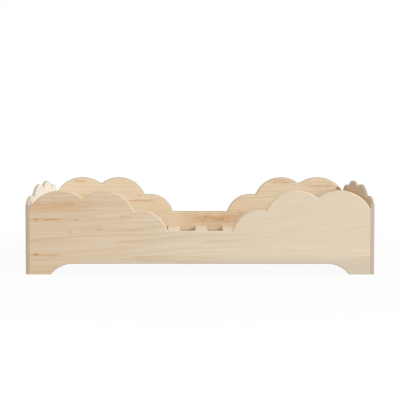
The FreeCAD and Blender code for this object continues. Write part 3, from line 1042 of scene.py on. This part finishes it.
# %% End boards
END_CLOUD_EDGE, UPRIGHT_EDGE = 0.0045, 0.0015  # radii of the rounding
BOLT_HOLE = [  # radii and depths
    (0.0061, 0.0), (0.0061, 0.0005), (0.0031, 0.0038), (0.0031, 0.012), (0.0, 0.012),
]

end_radius = edge_radius(end_shape[0], END_CLOUD_EDGE)
upright = smooth_step(1 - (end_half - abs(end_shape[0].real)) / SHOULDER_CORNER)
end_radius = end_radius + (UPRIGHT_EDGE - end_radius) * upright
bolt_holes = [(complex(side * side_middle, height), BOLT_HOLE)
              for side in (-1, 1) for height in BOLT_HEIGHTS]
for name, node, end, material in (("head_cloud_board", "head_end_board", -1, head_pine),
                                  ("foot_cloud_board", "foot_end_board", 1, foot_pine)):
    board = Board((end * end_reach, 0, 0), (end, 0, 0))
    patches = board_patches(board, end_shape, end_radius, thickness, shown_holes=bolt_holes)
    make_piece(name, patches, material, "pine_board", node)

# %% [markdown]
# ## The slatted base
#
# Eleven slats lie across two rails. They are planed pine with eased edges, each from its own stick,
# so the slats' pine counts a strip as one slat wide: every slat then gets its own rings, and no
# glue line runs through it.

# %% Slats
SLAT_RADIUS = 0.002  # of the eased edges, and of the rails' too
BAR_CORNER = 0.003  # radius of the corners
SCREW_HOLE = [  # radii and depths
    (0.00455, 0.0), (0.0041, 0.0005), (0.0021, 0.0029), (0.0021, 0.010), (0.0, 0.010),
]


def plain_bar(half, height):
    """A straight bar: a rectangle with sanded corners, from 0 up to its height."""
    low = complex(half - BAR_CORNER, BAR_CORNER)
    high = complex(half - BAR_CORNER, height - BAR_CORNER)
    return outline([
        (low, low - 1j * BAR_CORNER, low + BAR_CORNER),
        (high, high + BAR_CORNER, high + 1j * BAR_CORNER),
    ])


numbered = [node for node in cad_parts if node.startswith("slat_") and node[5:].isdigit()]
slat_nodes = sorted(numbered)
slat_boxes = [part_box(node) for node in slat_nodes]
slat_pitch = slat_boxes[1][0].x - slat_boxes[0][0].x
slat_height = (slat_boxes[0][0].z + slat_boxes[0][1].z) / 2
slat_pine = pine("slat_pine", "YXZ", slat_height, slat_pitch, 5.0,
                 paint(249, 237, 216), paint(222, 197, 164))
for node, (low, high) in zip(slat_nodes, slat_boxes):
    board = Board((high.x, 0, high.z), (0, 0, 1), up=(-1, 0, 0))
    middle = (high.x - low.x) / 2
    shape = plain_bar(high.y, 2 * middle)
    holes = [(complex(side * rail_middle, middle), SCREW_HOLE) for side in (-1, 1)]
    patches = board_patches(board, shape, SLAT_RADIUS, high.z - low.z, shown_holes=holes)
    make_piece("pine_" + node, patches, slat_pine, "pine_slat", node)

# %% [markdown]
# A rail is one long stick along the inside of a side board. Six screws hold it, in gaps between
# slats, where a screwdriver reaches them. It is a plain bar like a slat, so the same functions make
# it.

# %% Rails
slat_middles = [(low.x + high.x) / 2 for low, high in slat_boxes]
gaps = [middle + slat_pitch / 2 for middle in slat_middles[:-1]]
rail_screw_places = gaps[:5:2] + gaps[5::2]  # every second gap, counted alike from both ends
rail_tall = rail_high.z - rail_low.z
holes = [(complex(place, rail_tall / 2), SCREW_HOLE) for place in rail_screw_places]
for node, side in (("front_slat_rail", -1), ("back_slat_rail", 1)):
    board = Board((0, side * rail_low.y, rail_low.z), (0, -side, 0))
    shape = plain_bar(rail_high.x, rail_tall)
    patches = board_patches(board, shape, SLAT_RADIUS, rail_high.y - rail_low.y, shown_holes=holes)
    make_piece("pine_" + node, patches, rail_pine, "pine_rail", node)

# %% [markdown]
# ## Fasteners
#
# The bolts, nuts and screws are small and plain, so they are turned from short profiles. Their zinc
# is bright and a little cloudy: a metal whose colour and roughness vary with noise, at the scale of
# fine crystals and scratches.

# %% Zinc-plated steel
CLOUDY_CELLS, SCRATCH_CELLS = 900.0, 6000.0  # noise cells to a metre
ZINC_ROUGHNESS, CLOUDY_ROUGHER, SCRATCH_ROUGHER = 0.20, 0.18, 0.12
SCRATCH_STRENGTH, SCRATCH_DEPTH = 0.15, 0.0001


def steel(name):
    """Bright zinc: a metal with faint cloudy patches and fine scratches in its roughness."""
    material, recipe, shader = new_material(name)
    places = recipe.parts(recipe.add("ShaderNodeTexCoord", output="Object"))
    cloudy = recipe.noise(recipe.vector(*(recipe.product(axis, CLOUDY_CELLS) for axis in places)), 3.0)
    fine = recipe.noise(recipe.vector(*(recipe.product(axis, SCRATCH_CELLS) for axis in places)), 2.0)
    colour = recipe.blend(cloudy, paint(196, 198, 200), paint(222, 221, 214))
    changes = recipe.product(cloudy, CLOUDY_ROUGHER), recipe.product(fine, SCRATCH_ROUGHER)
    rough = recipe.sum(*changes, ZINC_ROUGHNESS)
    named = {"Strength": SCRATCH_STRENGTH, "Distance": SCRATCH_DEPTH, "Height": fine}
    bump = recipe.add("ShaderNodeBump", named=named)
    shader.inputs["Metallic"].default_value = 1.0
    return finish_material(material, shader, colour, rough, bump)


zinc = steel("zinc_plated_steel")

# %% [markdown]
# The screws and the nuts have a cross or a slot for a screwdriver. It could be cut out with a
# Boolean modifier, but on so small a face a fine round grid, pressed in where the recess is, gives
# cleaner faces and exact normals.

# %% Ends with a cross or a slot
HEAD_ROWS = 10  # rings of points between the middle and the rim
CROSS_DEPTH, CROSS_ARM, CROSS_HALF, CROSS_WALL = 0.0013, 0.0019, 0.0004, 0.0003
SLOT_DEPTH, SLOT_REACH, SLOT_HALF, SLOT_WALL = 0.0014, 0.0034, 0.0006, 0.0002
GROOVE_END = 0.0006  # how far the end of a groove slopes


def pressed_face(radius, press, place, axis):
    """The round end of a fastener, with a recess: depth is a function of the two distances from the
    middle. Its normals come from the slopes of that depth along and across."""
    place, axis = np.array(place, float), np.array(axis, float)
    first, second, angle, _ = spokes_round(axis)
    rows = np.linspace(0, radius, HEAD_ROWS)[:, None]
    x, y = rows * np.cos(angle), rows * np.sin(angle)
    depth = press(x, y)
    tiny = radius * 1e-3
    slope_x = (press(x + tiny, y) - press(x - tiny, y)) / (2 * tiny)
    slope_y = (press(x, y + tiny) - press(x, y - tiny)) / (2 * tiny)
    surface = place + x[..., None] * first + y[..., None] * second + depth[..., None] * axis
    normals = slope_x[..., None] * first + slope_y[..., None] * second - axis
    return grid_patch(surface, normals / np.linalg.norm(normals, axis=-1, keepdims=True))


def groove(distance, half_width, edge):
    """1 inside a groove and 0 outside it. On its sloping walls it is
    (half_width + edge - distance) / edge."""
    return np.clip((half_width + edge - abs(distance)) / edge, 0, 1)


def cross_recess(x, y):
    """The depth of a cross in a screw's head: the deeper of two short grooves."""
    arms = (groove(across, CROSS_HALF, CROSS_WALL) * groove(along, CROSS_ARM, GROOVE_END)
            for along, across in ((x, y), (y, x)))
    return CROSS_DEPTH * np.maximum(*arms)


def slot_recess(x, y):
    """The depth of a slot across a nut's end: one groove, which stops short of the rim."""
    return SLOT_DEPTH * groove(y, SLOT_HALF, SLOT_WALL) * groove(x, SLOT_REACH, GROOVE_END)


print("a cross is", 1000 * float(cross_recess(np.array(0.0), np.array(0.0))), "mm deep")

# %% [markdown]
# Eight countersunk bolts go through the end boards into the ends of the side boards. Their hexagon
# socket is a ring whose radius is that of a hexagon: the flat's distance divided by the cosine of
# the angle from the flat's middle.

# %% Bolts with a hexagon socket
BOLT, BOLT_HEAD, BOLT_HEAD_DEPTH, BOLT_LENGTH = 0.003, 0.006, 0.0033, 0.0575
HEAD_EASE = 0.0004  # of a head's rim
HEAD_RECESS = 0.0005  # how deep a head lies in the wood
SOCKET_HALF, SOCKET_DEPTH = 0.002, 0.0025


def socket_patches(place, axis):
    """The head's ring between the rim and a hexagon socket, the socket's walls and its conical
    floor. The mouth's radius is half the socket's width over the cosine of the angle from the
    nearest flat's middle."""
    place, axis = np.array(place, float), np.array(axis, float)
    first, second, angle, spokes = spokes_round(axis)
    hexagon = SOCKET_HALF / np.cos(angle % (math.pi / 3) - math.pi / 6)
    flat_middle = np.floor(angle / (math.pi / 3) + 1e-6) * (math.pi / 3) + math.pi / 6
    walls = -(np.cos(flat_middle)[:, None] * first + np.sin(flat_middle)[:, None] * second)
    rim = place + (BOLT_HEAD - HEAD_EASE) * spokes
    mouth = place + hexagon[:, None] * spokes
    floor = mouth + SOCKET_DEPTH * axis
    tip = np.broadcast_to(place + (SOCKET_DEPTH + HEAD_EASE) * axis, mouth.shape)
    up = np.broadcast_to(-axis, (2,) + mouth.shape)
    return [
        grid_patch(np.stack([mouth, rim]), up),
        grid_patch(np.stack([floor, mouth]), np.stack([walls, walls])),
        grid_patch(np.stack([tip, floor]), up),
    ]


def bolt_patches(place, axis):
    """A countersunk head with an eased rim, and a plain shank."""
    profile = [(BOLT_HEAD - HEAD_EASE, 0), (BOLT_HEAD, HEAD_EASE), (BOLT, BOLT_HEAD_DEPTH),
               (BOLT, BOLT_LENGTH), (0, BOLT_LENGTH)]
    return socket_patches(place, axis) + turned(profile, place, axis)


corners = [(end, side, height) for end in (-1, 1) for side in (-1, 1) for height in BOLT_HEIGHTS]
bolts = [patch for end, side, height in corners for patch in bolt_patches(
    (end * (end_reach - HEAD_RECESS), side * side_middle, height), (-end, 0, 0))]
make_piece("socket_bolts", bolts, zinc, "zinc_plated_steel", "corner_bolts")

# %% [markdown]
# A barrel nut is a short steel cylinder that lies across the end of a bolt, in a hole in the inner
# face of a side board. The slot in its end shows which way its thread points, and lets a
# screwdriver turn it to meet the bolt.

# %% Barrel nuts
NUT, NUT_LENGTH = 0.005, 0.012
NUT_COVER = 0.002  # how deep a nut's end lies in the wood


def nut_patches(place, axis):
    """A barrel with an eased rim and a slot for a screwdriver."""
    profile = [(NUT - HEAD_EASE, 0), (NUT, HEAD_EASE), (NUT, NUT_LENGTH), (0, NUT_LENGTH)]
    return [pressed_face(NUT - HEAD_EASE, slot_recess, place, axis)] + turned(profile, place, axis)


nuts = [patch for end, side, height in corners for patch in nut_patches(
    (end * (side_half - NUT_SETBACK), side * (end_half - thickness + NUT_COVER), height), (0, side, 0))]
make_piece("barrel_nuts", nuts, zinc, "zinc_plated_steel", "cross_nuts")

# %% [markdown]
# Two screws hold each slat and six hold each rail. Both kinds are one turned profile with another
# length, so one function makes them all, and all screws of a kind are one piece, as they are one
# CAD node.

# %% Wood screws
SCREW, SCREW_HEAD, SCREW_HEAD_DEPTH, SCREW_TIP = 0.002, 0.004, 0.0024, 0.004
RAIL_SCREW_LENGTH, SLAT_SCREW_LENGTH = 0.0395, 0.0345


def screw_patches(place, axis, length):
    """A countersunk head with a cross, a shank and a point."""
    profile = [(SCREW_HEAD, 0), (SCREW, SCREW_HEAD_DEPTH), (SCREW, length - SCREW_TIP), (0, length)]
    return [pressed_face(SCREW_HEAD, cross_recess, place, axis)] + turned(profile, place, axis)


slat_top = slat_boxes[0][1].z
slat_screws = [patch for middle in slat_middles for side in (-1, 1) for patch in screw_patches(
    (middle, side * rail_middle, slat_top - HEAD_RECESS), (0, 0, -1), SLAT_SCREW_LENGTH)]
make_piece("slat_wood_screws", slat_screws, zinc, "zinc_plated_steel", "slat_screws")

rail_screw_height = (rail_low.z + rail_high.z) / 2
rail_screws = [patch for place in rail_screw_places for side in (-1, 1) for patch in screw_patches(
    (place, side * (rail_low.y + HEAD_RECESS), rail_screw_height), (0, side, 0), RAIL_SCREW_LENGTH)]
make_piece("rail_wood_screws", rail_screws, zinc, "zinc_plated_steel", "rail_screws")

# %% [markdown]
# The dowels sit inside the corners, where nobody sees them, and their CAD shape is right. So that
# node stays, and only its material is changed.

# %% Dowels
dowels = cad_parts["corner_dowels"]
dowels.data.materials.clear()
dowels.data.materials.append(beech)
print("dowels:", len(dowels.data.polygons), "faces of", dowels.data.materials[0].name)

# %% [markdown]
# ## The studio
#
# The bed stands on a white floor in a white room, so only the light tells its sides apart. The
# white that the camera sees comes from the floor's and the world's own colour, through the Light
# Path node, and not from more light. A small share of the floor's real shading stays, so the bed
# still casts a shadow.

# %% Floor
FLOOR_REACH = 20.0  # from the bed's middle to the floor's edge
FLOOR_TONE, FLOOR_ROUGHNESS, FLOOR_GLOSS = 0.92, 0.9, 0.1
FLOOR_DROP = 0.0002  # keeps the floor clear of the feet
SHADOW_SHARE = 0.08  # how much of the real shading the camera sees on the floor near the bed
SHADOW_NEAR, SHADOW_FAR = 0.9, 1.6  # where that share fades out, from the bed's middle

floor_mesh = bpy.data.meshes.new("studio_floor")
floor_square = np.array([(-1, -1, 0), (1, -1, 0), (1, 1, 0), (-1, 1, 0)])
floor_corners = FLOOR_REACH * floor_square - (0, 0, FLOOR_DROP)
floor_mesh.from_pydata(floor_corners.tolist(), [], [(0, 1, 2, 3)])
floor = bpy.data.objects.new("studio_floor", floor_mesh)
bpy.context.scene.collection.objects.link(floor)


def seen_directly(recipe):
    """1 for what the camera sees itself, in a reflection or through glass."""
    node = recipe.tree.nodes.new("ShaderNodeLightPath")
    rays = "Is Camera Ray", "Is Glossy Ray", "Is Transmission Ray"
    return recipe.most(*(node.outputs[ray] for ray in rays))


floor_white, recipe, shader = new_material("studio_floor_white")
shader.inputs["Base Color"].default_value = (FLOOR_TONE, FLOOR_TONE, FLOOR_TONE, 1.0)
shader.inputs["Roughness"].default_value = FLOOR_ROUGHNESS
shader.inputs["Specular IOR Level"].default_value = FLOOR_GLOSS
glow = recipe.add("ShaderNodeEmission", (1.0, 1.0, 1.0, 1.0), 1.0)
place = recipe.add("ShaderNodeTexCoord", output="Object")
away = recipe.add("ShaderNodeVectorMath", place, operation="LENGTH", output="Value")
white = recipe.fade(away, SHADOW_NEAR, SHADOW_FAR, 1 - SHADOW_SHARE, 1.0)
share = recipe.product(seen_directly(recipe), white)
mixed = recipe.add("ShaderNodeMixShader", share, shader.outputs[0], glow)
floor_white.node_tree.links.new(mixed, floor_white.node_tree.nodes["Material Output"].inputs["Surface"])
floor_mesh.materials.append(floor_white)
print("floor:", 2 * FLOOR_REACH, "m wide")

# %% [markdown]
# The room's own light is even and comes from everywhere. One big soft lamp far to the right, in
# front and above gives the faces that look right more light than those that look left, and the
# front lies in between. Being far away, it lights both ends of the bed nearly alike.

# %% Room light and lamp
AMBIENT = 0.72  # the room's light on the bed, where the white that the camera sees is 1
LAMP_DIRECTION = Vector((0.84, -0.36, 0.40)).normalized()
LAMP_DISTANCE = 14.0
LAMP_SIZE = 4.2
LAMP_LEVEL = 0.46  # light on a face turned to the lamp, where 1 shows a colour as it is written

world = bpy.data.worlds.new("studio")
world.use_nodes = True
bpy.context.scene.world = world
recipe = Recipe(world.node_tree)
background = world.node_tree.nodes["Background"]
background.inputs["Color"].default_value = (1.0, 1.0, 1.0, 1.0)
strength = recipe.fade(seen_directly(recipe), 0.0, 1.0, AMBIENT, 1.0)
world.node_tree.links.new(strength, background.inputs["Strength"])

lamp = bpy.data.lights.new("soft_lamp", "AREA")
lamp.shape = "DISK"
lamp.size = LAMP_SIZE
lamp.energy = math.pi ** 2 * LAMP_DISTANCE ** 2 * LAMP_LEVEL  # light thins with the distance squared
lamp_object = bpy.data.objects.new("soft_lamp", lamp)
lamp_object.location = Vector((0.0, 0.0, cad_box[1].z / 2)) + LAMP_DIRECTION * LAMP_DISTANCE
lamp_object.rotation_euler = LAMP_DIRECTION.to_track_quat("Z", "Y").to_euler()
bpy.context.scene.collection.objects.link(lamp_object)
print("lamp:", round(lamp.energy), "W at", LAMP_DISTANCE, "m")

# %% [markdown]
# The photograph looks at the front from a little above, with a long lens. Its picture is 400 by 400
# dots, and the bed lies below the row that the lens points at, which is what the lens shift stands
# for.

# %% Camera
CAMERA_FRONT = 3.8265  # from the front board to the camera
CAMERA_HEIGHT = 0.693
CAMERA_TILT = 0.045  # downwards, in radians
FOCAL_PIXELS, FRAME_PIXELS = 927.0, 400.0  # the lens's length and the picture's width
AXIS_ROW = 149.4  # row of the picture that the lens points at
SENSOR_WIDTH = 36.0  # in millimetres

camera = bpy.data.cameras.new("photo_camera")
camera.sensor_width = SENSOR_WIDTH
camera.lens = FOCAL_PIXELS / FRAME_PIXELS * SENSOR_WIDTH
camera.shift_y = AXIS_ROW / FRAME_PIXELS - 0.5
camera_object = bpy.data.objects.new("photo_camera", camera)
camera_object.location = (0.0, -end_half - CAMERA_FRONT, CAMERA_HEIGHT)
camera_object.rotation_euler = (math.pi / 2 - CAMERA_TILT, 0.0, 0.0)
bpy.context.scene.collection.objects.link(camera_object)
bpy.context.scene.camera = camera_object
bpy.context.scene.view_settings.view_transform = "Standard"
print("camera lens, in millimetres:", round(camera.lens, 2))

# %% [markdown]
